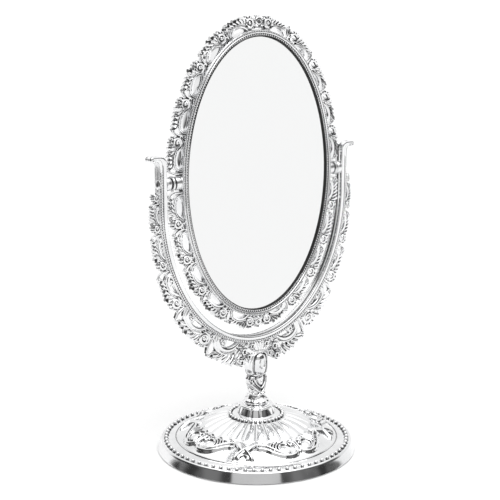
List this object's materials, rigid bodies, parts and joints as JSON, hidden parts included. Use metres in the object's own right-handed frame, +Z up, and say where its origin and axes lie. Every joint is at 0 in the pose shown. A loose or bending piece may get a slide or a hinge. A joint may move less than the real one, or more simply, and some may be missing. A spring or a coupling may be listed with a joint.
{
  "type": "countertop mirror",
  "caption": "Oval countertop mirror with an ornate plated frame that tilts between the arms of a U-shaped yoke on a domed round foot.",
  "frame": {"origin": "centre of the flat face that the pads rest on", "axes": "+Z up, -Y towards the front glass, +X to the right of a viewer who faces the front glass; the tilt axis is parallel to X"},
  "size_m": [0.174, 0.14, 0.3016],
  "materials": {
    "plated_shell": "bright chrome plating over a pressed shell",
    "plated_casting": "bright chrome plating over crisp moulded relief",
    "plated_pivot": "bright turned and plated",
    "mirror_glass": "clear silvered glass",
    "gasket_black": "satin black",
    "pad_rubber": "matte black",
    "cover_plastic": "fine texture",
    "washer_nylon": "smooth black nylon",
    "pad_foam": "closed cell foam",
    "ballast_steel": "raw pressed steel",
    "screw_steel": "zinc plated",
    "insert_brass": "turned"
  },
  "bodies": {
    "stand": {"base_shell": "plated_shell", "ballast_disc": "ballast_steel", "bottom_cover": "cover_plastic", "cover_screws": "screw_steel", "foot_pads": "pad_rubber", "base_collar": "plated_shell", "stem": "plated_casting", "tie_bolt": "screw_steel", "tie_washer": "screw_steel", "yoke_insert": "insert_brass", "yoke_front_half": "plated_casting", "yoke_rear_half": "plated_casting", "pivot_screw_left": "plated_pivot", "pivot_screw_right": "plated_pivot", "pivot_bush_left": "plated_pivot", "pivot_bush_right": "plated_pivot", "friction_washer_left": "washer_nylon", "friction_washer_right": "washer_nylon"},
    "mirror": {"front_frame": "plated_casting", "rear_frame": "plated_casting", "front_glass": "mirror_glass", "rear_glass": "mirror_glass", "spacer_pad": "pad_foam", "front_gasket": "gasket_black", "rear_gasket": "gasket_black", "pivot_barrel_left": "plated_pivot", "pivot_barrel_right": "plated_pivot"}
  },
  "joints": [
    {"name": "head_tilt", "type": "hinge", "parent": "stand", "child": "mirror", "pos_m": [0, 0, 0.1947], "axis": [1, 0, 0], "continuous": true}
  ]
}
